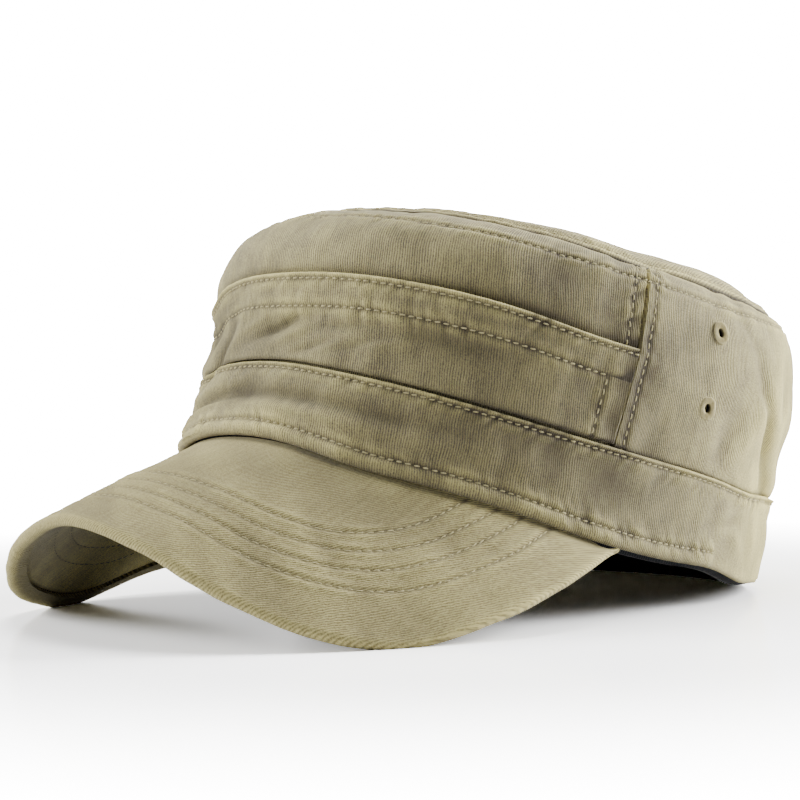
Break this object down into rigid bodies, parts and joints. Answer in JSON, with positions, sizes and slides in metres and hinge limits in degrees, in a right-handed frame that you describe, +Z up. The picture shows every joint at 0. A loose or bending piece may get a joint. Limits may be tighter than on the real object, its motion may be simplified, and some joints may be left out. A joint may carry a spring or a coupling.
{
  "type": "patrol cap",
  "caption": "Flat-topped patrol cap in washed khaki twill with a folded front overlay, a wide hem band, embroidered eyelets and a curved, stitched peak, at rest on a surface.",
  "frame": {"origin": "on the floor at the middle of the cap's footprint, the cap resting on the lobes of its peak and the back of its band", "axes": "+Z up, -Y towards the peak, +X towards the wearer's left"},
  "size_m": [0.1796, 0.2804, 0.1283],
  "materials": {
    "twill": "washed cotton twill, matte",
    "lining_twill": "washed cotton twill, matte, less faded",
    "navy_tape": "woven tape, matte",
    "thread": "embroidery thread, satin"
  },
  "bodies": {
    "root": {"top_panel": "twill", "front_panel": "twill", "front_overlay": "twill", "band": "twill", "sweatband": "navy_tape", "peak_cover": "twill", "peak_lining": "lining_twill", "side_panel_left": "twill", "eyelet_left_lower": "thread", "eyelet_left_upper": "thread", "side_panel_right": "twill", "eyelet_right_lower": "thread", "eyelet_right_upper": "thread"}
  },
  "joints": []
}
